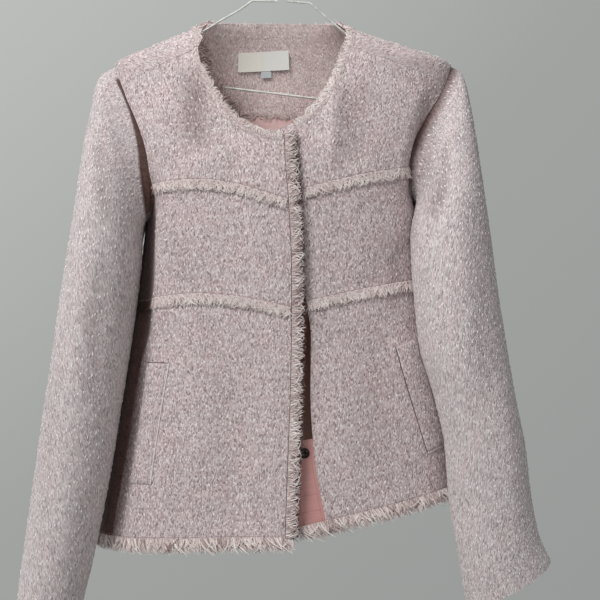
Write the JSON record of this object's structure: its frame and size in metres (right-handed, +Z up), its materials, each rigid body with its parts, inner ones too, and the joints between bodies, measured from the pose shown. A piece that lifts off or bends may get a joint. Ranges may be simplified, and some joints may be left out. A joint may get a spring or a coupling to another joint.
{
  "type": "cropped tweed jacket on a wire hanger",
  "caption": "Cropped collarless tweed jacket with frayed trims at neck, front, chest, waist and hem, hanging open-cuffed on a thin tilted wire hanger.",
  "frame": {"origin": "top of the hanger hook's inner curve, where a rail carries it", "axes": "+Z up, the jacket's front faces -Y, and +X is towards the wearer's left sleeve"},
  "size_m": [0.56, 0.1948, 0.7414],
  "materials": {
    "tweed": "boucle tweed in pale pink, mauve grey and white yarns",
    "trim": "frayed yarn fringe in the tweed's own colours",
    "satin": "smooth pink lining satin",
    "label": "woven cream label, left bare",
    "wire": "white coated wire",
    "stud": "dark oxidised metal"
  },
  "bodies": {
    "root": {"right_front": "tweed", "left_front": "tweed", "back_body": "tweed", "right_sleeve": "tweed", "left_sleeve": "tweed", "back_neck_facing": "tweed", "pocket_welt_right": "tweed", "pocket_welt_left": "tweed", "neck_trim_right": "trim", "neck_trim_left": "trim", "neck_trim_back": "trim", "placket_trim": "trim", "chest_trim_right": "trim", "chest_trim_left": "trim", "waist_trim_right": "trim", "waist_trim_left": "trim", "hem_fringe_right": "trim", "hem_fringe_left": "trim", "hem_fringe_back": "trim", "back_lining": "satin", "front_underlap": "satin", "neck_label": "label", "size_tab": "label", "press_stud": "stud", "hanger_hook": "wire", "hanger_twist": "wire", "hanger_arm_right": "wire", "hanger_arm_left": "wire", "hanger_bar": "wire"}
  },
  "joints": []
}
